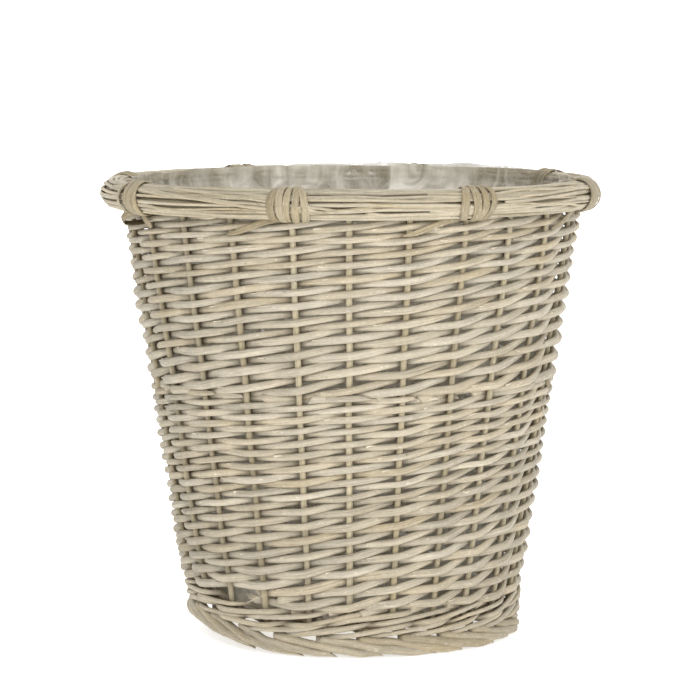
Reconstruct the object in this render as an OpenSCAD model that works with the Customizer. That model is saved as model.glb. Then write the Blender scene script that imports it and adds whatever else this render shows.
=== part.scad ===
// Round tapered willow basket with a randed wall, a bundled rim and a film liner.
// Millimetres, +Z up, origin at the centre of the foot on the floor.

/* [Overall] */
// Outside diameter across the rim bundle
rim_d = 450; // [440:2:470]
// Height from the floor to the top of the rim bundle
basket_h = 413.5; // [400:0.5:430]
// Outside diameter of the wall, measured where it would meet the floor
foot_wall_d = 296; // [286:2:300]

/* [Wall] */
// Radial thickness of the woven wall, over the rods on both sides of a stake
wall_t = 18; // [17:0.5:20]
// Number of side stakes, spaced evenly
stake_count = 24; // [16:8:24]
// Diameter of a side stake
stake_d = 6; // [5:0.5:6.5]
// Height where the lower rand ends and the upper rand begins
join_z = 230; // [200:5:250]
// Rows of the lower rand seen on one stake
lower_rows = 15; // [13:1:17]
// Rows of the upper rand seen on one stake
upper_rows = 12; // [11:1:14]
// Radius of the rounded back of one row of weave
row_r = 7.4; // [7.2:0.1:8]

/* [Foot and wale] */
// Height of the foot border
foot_h = 13.2; // [11:0.2:14]
// Outside radius of the foot border
foot_r = 151.4; // [148:0.2:153]
// Radial width of the foot border
foot_w = 14.4; // [13:0.2:16]
// Diameter of a foot stake
foot_stake_d = 5; // [4:0.5:5]
// Height where the upsett wale begins
wale_z0 = 19; // [18:0.5:20]
// Height where the upsett wale ends
wale_z1 = 45; // [42:0.5:48]

/* [Base] */
// Radius of the woven base
base_r = 132; // [126:1:133]
// Thickness of the woven base
base_t = 12; // [11:0.5:12.5]
// Diameter of a base stick
base_stick_d = 8.4; // [7.6:0.2:8.4]

/* [Rim] */
// Radius of the packed core of the rim bundle
core_r = 8.1; // [7.6:0.1:8.1]
// Diameter of one rod in the outer layer of the rim bundle
rim_rod_d = 4.1; // [3.6:0.1:4.1]
// Number of skein bindings round the rim
binding_count = 8; // [4:4:8]
// Width of the skein
skein_w = 6.6; // [5:0.2:7]
// Thickness of the skein
skein_t = 0.8; // [0.6:0.1:1]
// Turns in one binding
binding_turns = 5; // [3:1:6]
// Length of the skein's cut tail along the wall
tail_len = 50; // [30:1:60]

/* [Liner] */
// Thickness of the stand-in for the film
liner_t = 1; // [0.8:0.1:1.2]
// Height of the film's top edge above the rim bundle
liner_rise = 3; // [0:0.5:6]

/* [Hidden] */
$fn = 96;

gap = 0.15;                               // running gap round every rod that passes through another piece
bundle_r = core_r + gap + rim_rod_d + 0.15;  // outside radius of the rim bundle, over its outer rods
rim_z = basket_h - bundle_r - skein_t - 0.3; // height of the bundle's centre line
rim_cr = rim_d / 2 - bundle_r;            // radius of the bundle's centre line
r_floor = foot_wall_d / 2;                // wall's outside radius at the floor
slope = (rim_cr - 3.7 - r_floor) / rim_z; // wall's outward lean, as run over rise
lean = atan(slope);
upper_z1 = rim_z - bundle_r - 1.9;        // top of the upper rand
base_z = wale_z0 + 6;                     // height of the base sticks and of the stakes' legs
top_knuckle_z = upper_z1 + 3.8;           // height where a stake turns outwards into the rim
wale_step_z = base_z + stake_d / 2 + 1;   // underside of the wale's inner rods

function wall_r(z) = r_floor + slope * z;            // outside radius of the wall
function stake_r(z) = wall_r(z) - wall_t / 2;        // centre radius of a stake
function stake_a(i) = -90 + i * 360 / stake_count;   // direction of a stake, the first one in front

willow = [0.78, 0.73, 0.61];
willow_pale = [0.84, 0.80, 0.70];
willow_dark = [0.62, 0.56, 0.44];
film = [0.80, 0.80, 0.76, 0.55];

// Cylinder between two points of the radial plane, given as [radius, height]
module rod2(a, b, r) {
    dx = b[0] - a[0];
    dz = b[1] - a[1];
    translate([a[0], 0, a[1]])
        rotate([0, atan2(dx, dz), 0])
            cylinder(r = r, h = sqrt(dx * dx + dz * dz));
}

// The sloping uprights of all stakes between two heights, used for the stakes and for their bores
module stake_uprights(z0, z1, r) {
    for (i = [0 : stake_count - 1])
        rotate([0, 0, stake_a(i)])
            rod2([stake_r(z0), z0], [stake_r(z1), z1], r);
}

// Legs of the stakes, pushed into the base
module stake_legs(r, r0, r1) {
    for (i = [0 : stake_count - 1])
        rotate([0, 0, stake_a(i)])
            rod2([r0, base_z], [r1, base_z], r);
}

// Half section of a woven band: rounded rows inside and outside of a plain middle
module band_profile(z0, z1, rows) {
    pitch = (z1 - z0) / rows;
    intersection() {
        union() {
            for (k = [0 : rows - 1]) {
                zc = z0 + (k + 0.5) * pitch;
                translate([wall_r(zc) - row_r, zc]) circle(r = row_r);
                translate([wall_r(zc) - wall_t + row_r, zc]) circle(r = row_r);
            }
            polygon([
                [wall_r(z0) - wall_t + 4.6, z0], [wall_r(z0) - 4.6, z0],
                [wall_r(z1) - 4.6, z1], [wall_r(z1) - wall_t + 4.6, z1]
            ]);
        }
        translate([80, z0]) square([180, z1 - z0]);
    }
}

// A woven band with a bore for every stake
module rand_band(z0, z1, rows) {
    difference() {
        rotate_extrude() band_profile(z0, z1, rows);
        stake_uprights(z0 - 3, z1 + 3, stake_d / 2 + gap);
    }
}

// One base stick: straight through the middle, with its two ends opened out to radial spokes
module base_stick(k) {
    spoke = 30;
    x0 = 15.2;
    y0 = x0 * tan(spoke);
    r = base_stick_d / 2;
    r_end = base_r - 1;
    translate([-x0, k * y0, base_z]) rotate([0, 90, 0]) cylinder(r = r, h = 2 * x0);
    for (s = [-1, 1]) {
        rotate([0, 0, s > 0 ? k * spoke : 180 - k * spoke])
            translate([k == 0 ? x0 - 0.01 : x0 / cos(spoke), 0, base_z]) {
                rotate([0, 90, 0]) cylinder(r = r, h = r_end - (k == 0 ? x0 : x0 / cos(spoke)));
                if (k != 0) sphere(r = r + 0.15);
            }
    }
}

module base_sticks_slit() {
    color(willow_dark)
    rotate([0, 0, 7.5])
    difference() {
        for (k = [-1 : 1]) base_stick(k);
        translate([-13.6, -30, base_z - 2.4]) cube([27.2, 60, 4.8]);
    }
}

module base_sticks_threaded() {
    color(willow)
    rotate([0, 0, 97.5])
    difference() {
        for (k = [-1 : 1]) base_stick(k);
        for (s = [-1, 1])
            translate([-13.9, -30, base_z + s * 6.2 - 4]) cube([27.8, 60, 8]);
    }
}

module base_weave() {
    rings = 9;
    r_in = 22;
    pitch = (base_r - r_in) / rings;
    zb = base_z - base_t / 2;
    color(willow)
    difference() {
        rotate_extrude()
            intersection() {
                union() {
                    for (k = [0 : rings - 1])
                        for (s = [-1, 1])
                            translate([r_in + (k + 0.5) * pitch, base_z + s * (base_t / 2 - 7)])
                                circle(r = 7);
                    translate([r_in, base_z - 4.9]) square([base_r - r_in, 9.8]);
                }
                translate([r_in, zb]) square([base_r - r_in, base_t]);
            }
        for (j = [0 : 11])
            rotate([0, 0, 7.5 + 30 * j])
                rod2([10, base_z], [base_r + 5, base_z], base_stick_d / 2 + gap);
        stake_legs(stake_d / 2 + gap, 74, base_r + 5);
    }
}

module side_stakes() {
    color(willow_pale)
    for (i = [0 : stake_count - 1])
        rotate([0, 0, stake_a(i)]) {
            // leg in the base
            rod2([75, base_z], [stake_r(base_z), base_z], stake_d / 2);
            translate([stake_r(base_z), 0, base_z]) sphere(r = stake_d / 2 + 0.35);
            // upright through the weave
            rod2([stake_r(base_z), base_z], [stake_r(top_knuckle_z), top_knuckle_z], stake_d / 2);
            translate([stake_r(top_knuckle_z), 0, top_knuckle_z]) sphere(r = stake_d / 2 + 0.35);
            // end turned outwards into the rim bundle
            rod2([stake_r(top_knuckle_z), top_knuckle_z], [rim_cr - 0.8, rim_z], stake_d / 2);
        }
}

// Arms of the stakes where they enter the rim bundle
module stake_arm_bores(r) {
    for (i = [0 : stake_count - 1])
        rotate([0, 0, stake_a(i)])
            rod2([stake_r(top_knuckle_z), top_knuckle_z], [rim_cr, rim_z + 0.2], r);
}

module foot_border() {
    rs = 3.9;
    ri = foot_r - foot_w;
    color(willow)
    union() {
        rotate_extrude()
            intersection() {
                union() {
                    for (r = [ri + rs, foot_r - rs])
                        for (z = [rs - 0.6, foot_h - rs])
                            translate([r, z]) circle(r = rs);
                    translate([ri + rs, 0]) square([foot_w - 2 * rs, foot_h - 1.2]);
                }
                translate([ri - 5, 0]) square([foot_w + 10, foot_h + 5]);
            }
        // foot stakes, one beside each side stake, pushed up into the wale
        for (i = [0 : stake_count - 1])
            rotate([0, 0, stake_a(i) + 3.6])
                rod2([stake_r(foot_h - 4), foot_h - 4], [stake_r(wale_z1 - 4), wale_z1 - 4], foot_stake_d / 2);
    }
}

module upsett_wale() {
    rows = 4;
    pitch = (wale_z1 - wale_z0) / rows;
    rr = 4.2;
    color(willow)
    difference() {
        rotate_extrude()
            difference() {
                intersection() {
                    union() {
                        for (k = [0 : rows - 1]) {
                            zc = wale_z0 + (k + 0.5) * pitch;
                            translate([wall_r(zc) - rr, zc]) circle(r = rr);
                            translate([wall_r(zc) - wall_t + rr, zc]) circle(r = rr);
                        }
                        polygon([
                            [wall_r(wale_z0) - wall_t + 3.5, wale_z0], [wall_r(wale_z0) - 3.5, wale_z0],
                            [wall_r(wale_z1) - 3.5, wale_z1], [wall_r(wale_z1) - wall_t + 3.5, wale_z1]
                        ]);
                    }
                    translate([80, wale_z0]) square([180, wale_z1 - wale_z0]);
                }
                // room under the inner rods for the turn of the stakes
                translate([60, 0]) square([wall_r(base_z) - 5 - 60, wale_step_z]);
            }
        stake_uprights(wale_z0, wale_z1 + 3, stake_d / 2 + gap);
        for (i = [0 : stake_count - 1])
            rotate([0, 0, stake_a(i) + 3.6])
                rod2([stake_r(wale_step_z - 4), wale_step_z - 4], [stake_r(wale_z1 - 3.5), wale_z1 - 3.5],
                     foot_stake_d / 2 + gap);
    }
}

module lower_rand() {
    color(willow) rand_band(wale_z1, join_z, lower_rows);
}

module upper_rand() {
    color(willow_pale) rand_band(join_z, upper_z1, upper_rows);
}

module rim_core_rods() {
    color(willow_dark)
    difference() {
        rotate_extrude() translate([rim_cr, rim_z]) circle(r = core_r);
        stake_arm_bores(stake_d / 2 + gap);
    }
}

// Outer layer of the bundle: rods side by side, parted where the stakes enter
module rim_outer_rods() {
    ro = core_r + gap + rim_rod_d / 2;
    a_in = 180 + atan2(rim_z - top_knuckle_z, rim_cr - stake_r(top_knuckle_z));
    keep = asin((stake_d / 2 + rim_rod_d / 2 + 0.3) / ro);
    least = 2 * asin((rim_rod_d + 0.1) / (2 * ro));
    count = floor((360 - 2 * keep) / least) + 1;
    step = (360 - 2 * keep) / (count - 1);
    color(willow_pale)
    for (k = [0 : count - 1]) {
        a = a_in + keep + k * step;
        rotate_extrude() translate([rim_cr + ro * cos(a), rim_z + ro * sin(a)]) circle(r = rim_rod_d / 2 - 0.02);
    }
}

// Sector of a hoop round the rim bundle, between two radii of its section
module rim_sleeve(r_in, r_out, from, width) {
    rotate([0, 0, from])
        rotate_extrude(angle = width)
            translate([rim_cr, rim_z]) difference() {
                circle(r = r_out);
                circle(r = r_in);
            }
}

// One binding: turns of flat skein side by side round the bundle, and the skein's cut tail lying on the top rows
module binding(i) {
    a0 = stake_a(2) + (i - 1) * 360 / binding_count;
    turn = skein_w / rim_cr * 180 / PI;
    groove = 0.5 / rim_cr * 180 / PI;
    tail_a = tail_len / wall_r(375) * 180 / PI;
    tail_drop = 15;
    tail_r = wall_r(upper_z1) + 0.6;
    color(willow_pale) {
        difference() {
            rim_sleeve(bundle_r + 0.1, bundle_r + 0.1 + skein_t, a0 - binding_turns / 2 * turn, binding_turns * turn);
            for (k = [1 : binding_turns - 1])
                rim_sleeve(bundle_r + 0.1 + skein_t / 2, bundle_r + 3, a0 + (k - binding_turns / 2) * turn - groove / 2, groove);
            rotate([0, 0, a0])
                rod2([stake_r(top_knuckle_z) - 4, top_knuckle_z - 3], [rim_cr, rim_z + 0.2], stake_d / 2 + 1);
        }
        // tail
        intersection() {
            rotate([0, 0, a0 - 2.6 - tail_a])
                rotate_extrude(angle = tail_a)
                    polygon([
                        [wall_r(upper_z1 - 26) + 0.25, upper_z1 - 26], [wall_r(upper_z1 + 0.8) + 0.25, upper_z1 + 0.8],
                        [wall_r(upper_z1 + 0.8) + 0.25 + skein_t, upper_z1 + 0.8],
                        [wall_r(upper_z1 - 26) + 0.25 + skein_t, upper_z1 - 26]
                    ]);
            rotate([0, 0, a0 - 2.6 - tail_a / 2])
                translate([tail_r, 0, upper_z1 - 11.2])
                    rotate([atan(tail_drop / tail_len), 0, 0])
                        cube([30, tail_len * 2, skein_w - 0.6], center = true);
        }
    }
}

module rim_binding_1() { binding(1); }
module rim_binding_2() { binding(2); }
module rim_binding_3() { binding(3); }
module rim_binding_4() { binding(4); }
module rim_binding_5() { binding(5); }
module rim_binding_6() { binding(6); }
module rim_binding_7() { binding(7); }
module rim_binding_8() { binding(8); }

// Film lining the wall and the base, flared at the top to lie against the rim
module film_liner() {
    t = liner_t;
    zf = base_z + base_t / 2 + 0.4;
    d = wall_t + 0.5;
    r_top = rim_cr - bundle_r - skein_t - 0.7;
    z_top = basket_h + liner_rise;
    color(film)
    rotate_extrude()
        polygon([
            [0, zf], [wall_r(zf) - d, zf],
            [wall_r(upper_z1) - d, upper_z1], [r_top, rim_z], [r_top + 0.3, z_top],
            [r_top + 0.3 - t, z_top], [r_top - t, rim_z + 0.2],
            [wall_r(upper_z1) - d - t, upper_z1 + 0.2], [wall_r(zf) - d - t, zf + t], [0, zf + t]
        ]);
}

base_sticks_slit();
base_sticks_threaded();
base_weave();
side_stakes();
foot_border();
upsett_wale();
lower_rand();
upper_rand();
rim_core_rods();
rim_outer_rods();
rim_binding_1();
rim_binding_2();
rim_binding_3();
rim_binding_4();
rim_binding_5();
rim_binding_6();
rim_binding_7();
rim_binding_8();
film_liner();
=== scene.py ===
import math

import bpy
import numpy as np
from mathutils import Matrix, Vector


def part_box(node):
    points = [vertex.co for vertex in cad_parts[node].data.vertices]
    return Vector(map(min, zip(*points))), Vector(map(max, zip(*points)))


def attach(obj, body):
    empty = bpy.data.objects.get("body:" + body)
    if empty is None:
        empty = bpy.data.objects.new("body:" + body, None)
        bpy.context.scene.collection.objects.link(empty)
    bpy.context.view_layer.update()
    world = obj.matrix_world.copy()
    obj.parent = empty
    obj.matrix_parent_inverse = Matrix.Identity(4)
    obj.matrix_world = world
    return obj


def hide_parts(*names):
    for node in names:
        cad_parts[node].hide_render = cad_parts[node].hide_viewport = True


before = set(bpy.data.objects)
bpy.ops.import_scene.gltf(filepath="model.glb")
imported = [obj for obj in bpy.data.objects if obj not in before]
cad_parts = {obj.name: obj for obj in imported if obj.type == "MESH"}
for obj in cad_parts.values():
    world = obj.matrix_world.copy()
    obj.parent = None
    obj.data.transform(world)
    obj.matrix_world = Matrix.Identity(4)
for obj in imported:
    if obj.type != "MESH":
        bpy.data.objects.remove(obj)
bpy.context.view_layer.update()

RNG = np.random.default_rng(20731)
MM = 0.001
TAU = 2 * math.pi

# ------------------------------------------------------------------ sizes, read from the frame (mm)
core_lo, core_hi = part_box("rim_core_rods")
CORE_R = (core_hi.z - core_lo.z) / 2 / MM
RIM_Z = (core_hi.z + core_lo.z) / 2 / MM
RIM_R = core_hi.x / MM - CORE_R
low_lo, low_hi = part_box("lower_rand")
up_lo, up_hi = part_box("upper_rand")
WALE0, WALE1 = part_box("upsett_wale")[0].z / MM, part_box("upsett_wale")[1].z / MM
JOIN_Z = low_hi.z / MM
UP_TOP = up_hi.z / MM
base_lo, base_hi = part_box("base_weave")
BASE_Z = (base_lo.z + base_hi.z) / 2 / MM
BASE_R = base_hi.x / MM
FOOT_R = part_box("foot_border")[1].x / MM
LINER_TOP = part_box("film_liner")[1].z / MM
BUNDLE_R = 13.1
FLOOR_R = 148.0
SLOPE = (RIM_R - 3.7 - FLOOR_R) / RIM_Z
NS = 24                      # side stakes
PITCH = TAU / NS
FRONT = -math.pi / 2         # direction of the front


def wall_r(z):
    return FLOOR_R + SLOPE * z


def stake_rc(z):
    """Centre radius of a stake as built by hand: it follows the design line, a little fuller near the rim."""
    z = np.asarray(z, float)
    extra = np.interp(z, [0, 45, 120, 220, 245, 330, 390], [0.5, 0.8, 1.2, 1.4, 1.2, 2.6, 2.4])
    return wall_r(z) - 7.8 + extra


# wander of the stakes, given one by one in degrees from their even places, the first one in front
WANDER = np.array([-0.3, -0.5, -0.7, -2.0, -1.7, -1.2, 0.5, 1.1, -0.6, 0.4, 1.3, -0.9,
                   0.2, 0.9, -1.1, 0.6, -0.4, 1.0, 0.3, -1.0, -1.6, -0.8, -0.6, 0.7])


def stake_ang(s):
    """Direction of stake s, where s may be any whole number."""
    s = np.asarray(s)
    return FRONT + s * PITCH + np.radians(WANDER[np.mod(s, NS).astype(int)])


# ------------------------------------------------------------------ mesh making
def smooth_noise(n, knots, rng, amp=1.0):
    """n values of a smooth random line with about that many bends."""
    k = max(4, int(knots) + 3)
    y = rng.normal(0, 1, k)
    x = np.linspace(0, k - 1, n)
    i = np.clip(np.floor(x).astype(int), 0, k - 2)
    f = x - i
    f = f * f * (3 - 2 * f)
    return amp * (y[i] * (1 - f) + y[i + 1] * f)


def ease(x):
    x = np.clip(x, 0, 1)
    return x * x * (3 - 2 * x)


def settle(p):
    """The foot has been knocked up and in on the left, which the weave above takes up within 90 mm."""
    p = np.array(p, float)
    x, y, z = p.T
    r = np.hypot(x, y) + 1e-9
    phi = np.degrees(np.arctan2(x, -y))
    up = ease((-20 - phi) / 58) * ease((172 + phi) / 62)
    w = np.clip(r / 142, 0, 1) ** 4
    dz = 16.0 * up * w * (1 - np.clip(z / 92, 0, 1) ** 1.4)
    dr = -3.5 * up * w * (1 - np.clip(z / 75, 0, 1))
    dr = dr + np.interp(z, [0, 30, 60, 370, 388], [2.4, 2.2, 1.6, 1.6, 0]) * np.clip(np.sin(np.radians(phi)), 0, 1) ** 2 * w
    k = (r + dr) / r
    return np.stack([x * k, y * k, z + dz], -1)


def field2(seed, na, nb):
    """A smooth random field over direction (closed) and height (0 to 1)."""
    g = np.random.default_rng(seed).normal(0, 1, (nb + 2, na))

    def at(a, h):
        u = np.mod(a / TAU * na, na)
        v = np.clip(h, 0, 1) * (nb - 0.001)
        i, j = np.floor(u).astype(int) % na, np.floor(v).astype(int)
        fu, fv = u - np.floor(u), v - j
        fu, fv = fu * fu * (3 - 2 * fu), fv * fv * (3 - 2 * fv)
        a0 = g[j, i] * (1 - fu) + g[j, (i + 1) % na] * fu
        a1 = g[j + 1, i] * (1 - fu) + g[j + 1, (i + 1) % na] * fu
        return a0 * (1 - fv) + a1 * fv

    return at


class Bunch:
    """Collects rods into one mesh, with the values that the willow material reads."""

    def __init__(self):
        self.v, self.f, self.tone, self.tint, self.grain, self.deep, self.uv = [], [], [], [], [], [], []
        self.n = 0
        self.strips = []

    def _add(self, verts, faces, tone, tint, grain, deep, uv):
        self.v.append(verts)
        self.f.extend([tuple(int(i) + self.n for i in q) for q in faces])
        self.tone.append(np.full(len(verts), tone) if np.isscalar(tone) else tone)
        self.tint.append(np.full(len(verts), tint) if np.isscalar(tint) else tint)
        self.grain.append(grain)
        self.deep.append(deep if deep is not None else np.zeros(len(verts)))
        self.uv.extend(uv)
        self.n += len(verts)

    def rod(self, p, side, ru, rv=None, m=10, tone=0.0, tint=0.5, deep=None, cap=(0.35, 0.35), slant=(0, 0), seed=0.0, lump=0.03, rng=RNG):
        """A rod along points p (mm), side is the direction of its radial half-width ru, rv its other half-width. cap is how domed each end is."""
        p = settle(p)
        n = len(p)
        ru = np.full(n, ru, float) if np.isscalar(ru) else np.asarray(ru, float)
        rv = ru if rv is None else (np.full(n, rv, float) if np.isscalar(rv) else np.asarray(rv, float))
        t = np.gradient(p, axis=0)
        t /= np.linalg.norm(t, axis=1)[:, None] + 1e-12
        u = np.asarray(side, float)
        if u.ndim == 1:
            u = np.repeat(u[None], n, 0)
        u = u - (u * t).sum(1)[:, None] * t
        u /= np.linalg.norm(u, axis=1)[:, None] + 1e-12
        w = np.cross(t, u)
        a = np.arange(m) / m * TAU
        ca, sa = np.cos(a), np.sin(a)
        bump = 1 + lump * np.sin(2 * a[None] + seed * 7.1 + 0.0 * p[:, :1]) + lump * 0.6 * np.sin(3 * a[None] + seed * 3.7)
        ring = p[:, None] + u[:, None] * (ru[:, None] * ca * bump)[:, :, None] + w[:, None] * (rv[:, None] * sa * bump)[:, :, None]
        # slanted cuts: move each end's ring along the rod by its height in the section
        for end, k in ((0, slant[0]), (-1, slant[1])):
            if k:
                ring[end] += t[end] * (rv[end] * sa * k)[:, None]
        s = np.concatenate([[0], np.cumsum(np.linalg.norm(np.diff(p, axis=0), axis=1))])
        verts = ring.reshape(-1, 3)
        grain = np.stack([np.repeat(s, m) + seed * 911.0, np.tile(ca, n) * np.repeat(ru, m), np.tile(sa, n) * np.repeat(rv, m)], 1)
        dp = None if deep is None else np.repeat(np.asarray(deep, float), m)
        i, j = np.meshgrid(np.arange(n - 1), np.arange(m), indexing="ij")
        j2 = (j + 1) % m
        q = np.stack([i * m + j, i * m + j2, (i + 1) * m + j2, (i + 1) * m + j], -1).reshape(-1, 4)
        strip = len(self.strips)
        self.strips.append(float(s[-1]))
        uv = [(strip, s[a_], b_ / m, s[c_], (b_ + 1) / m) for a_, b_, c_ in ((int(x) // m, int(x) % m, int(x) // m + 1) for x in q[:, 0])]
        uvq = [((strip, u0, v0), (strip, u0, v1), (strip, u1, v1), (strip, u1, v0)) for _, u0, v0, u1, v1 in uv]
        # ends: an inner ring a little further along, then a middle point
        caps_v, caps_f, caps_g, caps_uv = [], [], [], []
        base = len(verts)
        for end, sign, dome in ((0, -1, cap[0]), (n - 1, 1, cap[1])):
            c = p[end] + t[end] * sign * dome * min(ru[end], rv[end])
            inner = p[end] + (ring[end] - p[end]) * 0.72 + t[end] * sign * dome * 0.6 * min(ru[end], rv[end])
            k0 = base + len(caps_v)
            caps_v.extend(list(inner))
            caps_v.append(c)
            g0 = grain[end * m:(end + 1) * m] * np.array([1, 0.72, 0.72])
            caps_g.extend(list(g0))
            caps_g.append(np.array([s[end] + seed * 911.0, 0, 0]))
            ss = s[end]
            for b in range(m):
                b2 = (b + 1) % m
                o0, o1 = end * m + b, end * m + b2
                i0, i1 = k0 + b, k0 + b2
                if sign < 0:
                    caps_f.append((o1, o0, i0, i1))
                    caps_f.append((i1, i0, k0 + m))
                else:
                    caps_f.append((o0, o1, i1, i0))
                    caps_f.append((i0, i1, k0 + m))
                for f in caps_f[-2:]:
                    caps_uv.append(tuple((strip, ss + (0.2 if x >= k0 else 0.0) * sign, (b + (1 if x in (o1, i1) else 0)) / m) for x in f))
        verts = np.concatenate([verts, np.array(caps_v)])
        grain = np.concatenate([grain, np.array(caps_g)])
        if dp is not None:
            dp = np.concatenate([dp, np.full(m + 1, dp[0]), np.full(m + 1, dp[-1])])
        if not np.isscalar(tone):
            tone = np.concatenate([np.repeat(tone, m), np.full(m + 1, tone[0]), np.full(m + 1, tone[-1])])
        faces = [tuple(x) for x in q] + caps_f
        self._add(verts, faces, tone, tint, grain, dp, list(uvq) + caps_uv)

    def ribbon(self, p, out, width, thick, closed=False, tone=0.0, tint=0.5, seed=0.0, crown=0.35, deep=None):
        """A flat split skein along p (mm): out is the direction of its rounded bark side."""
        p = np.asarray(p, float)
        n = len(p)
        width = np.full(n, width, float) if np.isscalar(width) else np.asarray(width, float)
        t = (np.roll(p, -1, 0) - np.roll(p, 1, 0)) if closed else np.gradient(p, axis=0)
        t /= np.linalg.norm(t, axis=1)[:, None] + 1e-12
        o = np.asarray(out, float)
        o = o - (o * t).sum(1)[:, None] * t
        o /= np.linalg.norm(o, axis=1)[:, None] + 1e-12
        w = np.cross(t, o)
        # section: flat underside, crowned top
        sec = np.array([(-0.5, 0.0), (-0.5, 0.45), (-0.38, 0.8), (-0.15, 1.0), (0.15, 1.0), (0.38, 0.8), (0.5, 0.45), (0.5, 0.0), (0.2, -0.08), (-0.2, -0.08)])
        m = len(sec)
        ring = p[:, None] + w[:, None] * (width[:, None] * sec[:, 0])[:, :, None] + o[:, None] * (thick * sec[:, 1])[None, :, None]
        step = np.linalg.norm(np.diff(p, axis=0), axis=1)
        s = np.concatenate([[0], np.cumsum(step)])
        verts = ring.reshape(-1, 3)
        grain = np.stack([np.repeat(s, m) + seed * 911.0, np.tile(sec[:, 0], n) * np.repeat(width, m), np.tile(sec[:, 1], n) * thick], 1)
        faces, uv = [], []
        strip = len(self.strips)
        last = np.linalg.norm(p[0] - p[-1]) if closed else 0
        self.strips.append(float(s[-1] + last))
        for i in range(n if closed else n - 1):
            i2 = (i + 1) % n
            s1 = s[i] + (last if closed and i == n - 1 else (s[i2] - s[i] if i2 > i else 0))
            for j in range(m):
                j2 = (j + 1) % m
                faces.append((i * m + j2, i * m + j, i2 * m + j, i2 * m + j2))
                uv.append(((strip, s[i], (j + 1) / m), (strip, s[i], j / m), (strip, s1, j / m), (strip, s1, (j + 1) / m)))
        if not closed:
            for i, flip in ((0, False), (n - 1, True)):
                ring_i = [i * m + j for j in range(m)]
                f = ring_i if not flip else ring_i[::-1]
                faces.append(tuple(f))
                uv.append(tuple((strip, s[i], (x - i * m) / m) for x in f))
        dp = None if deep is None else np.repeat(np.asarray(deep, float), m)
        self._add(verts, faces, tone, tint, grain, dp, uv)

    def build(self, name, material, slot, replaces=(), segment=340.0):
        me = bpy.data.meshes.new(name)
        verts = np.concatenate(self.v) * MM
        me.from_pydata(verts.tolist(), [], self.f)
        for key, data in (("tone", np.concatenate(self.tone)), ("tint", np.concatenate(self.tint)), ("deep", np.concatenate(self.deep))):
            a = me.attributes.new(key, "FLOAT", "POINT")
            a.data.foreach_set("value", data.astype(np.float32))
        a = me.attributes.new("grain", "FLOAT_VECTOR", "POINT")
        a.data.foreach_set("vector", (np.concatenate(self.grain) * MM).astype(np.float32).ravel())
        # a map in strips: each rod is cut into lengths, and the lengths lie one above the other
        rows, start = [], []
        for L in self.strips:
            start.append(len(rows))
            rows.extend([0] * max(1, math.ceil(L / segment)))
        total = len(rows)
        co = np.zeros((len(me.loops), 2), np.float32)
        k = 0
        for corners in self.uv:
            lo = min(c[1] for c in corners)
            seg = int(max(0, math.floor((lo + 1e-6) / segment)))
            for strip, s, v in corners:
                r = start[strip] + min(seg, max(1, math.ceil(self.strips[strip] / segment)) - 1)
                local = (s - seg * segment) / segment
                co[k] = (0.01 + 0.96 * min(max(local, -0.005), 1.02), (r + 0.08 + 0.84 * v) / total)
                k += 1
        layer = me.uv_layers.new(name="OFBake")
        layer.uv.foreach_set("vector", co.ravel())
        me.polygons.foreach_set("use_smooth", [True] * len(me.polygons))
        me.validate(verbose=False)
        me.update()
        ob = bpy.data.objects.new(name, me)
        bpy.context.scene.collection.objects.link(ob)
        me.materials.append(material)
        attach(ob, "root")
        if replaces:
            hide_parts(*replaces)
        return ob


# ------------------------------------------------------------------ materials
def rgb(h):
    """Linear colour of a hex one."""
    c = [int(h[i:i + 2], 16) / 255 for i in (0, 2, 4)]
    return tuple(x / 12.92 if x <= 0.04045 else ((x + 0.055) / 1.055) ** 2.4 for x in c) + (1.0,)


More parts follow.
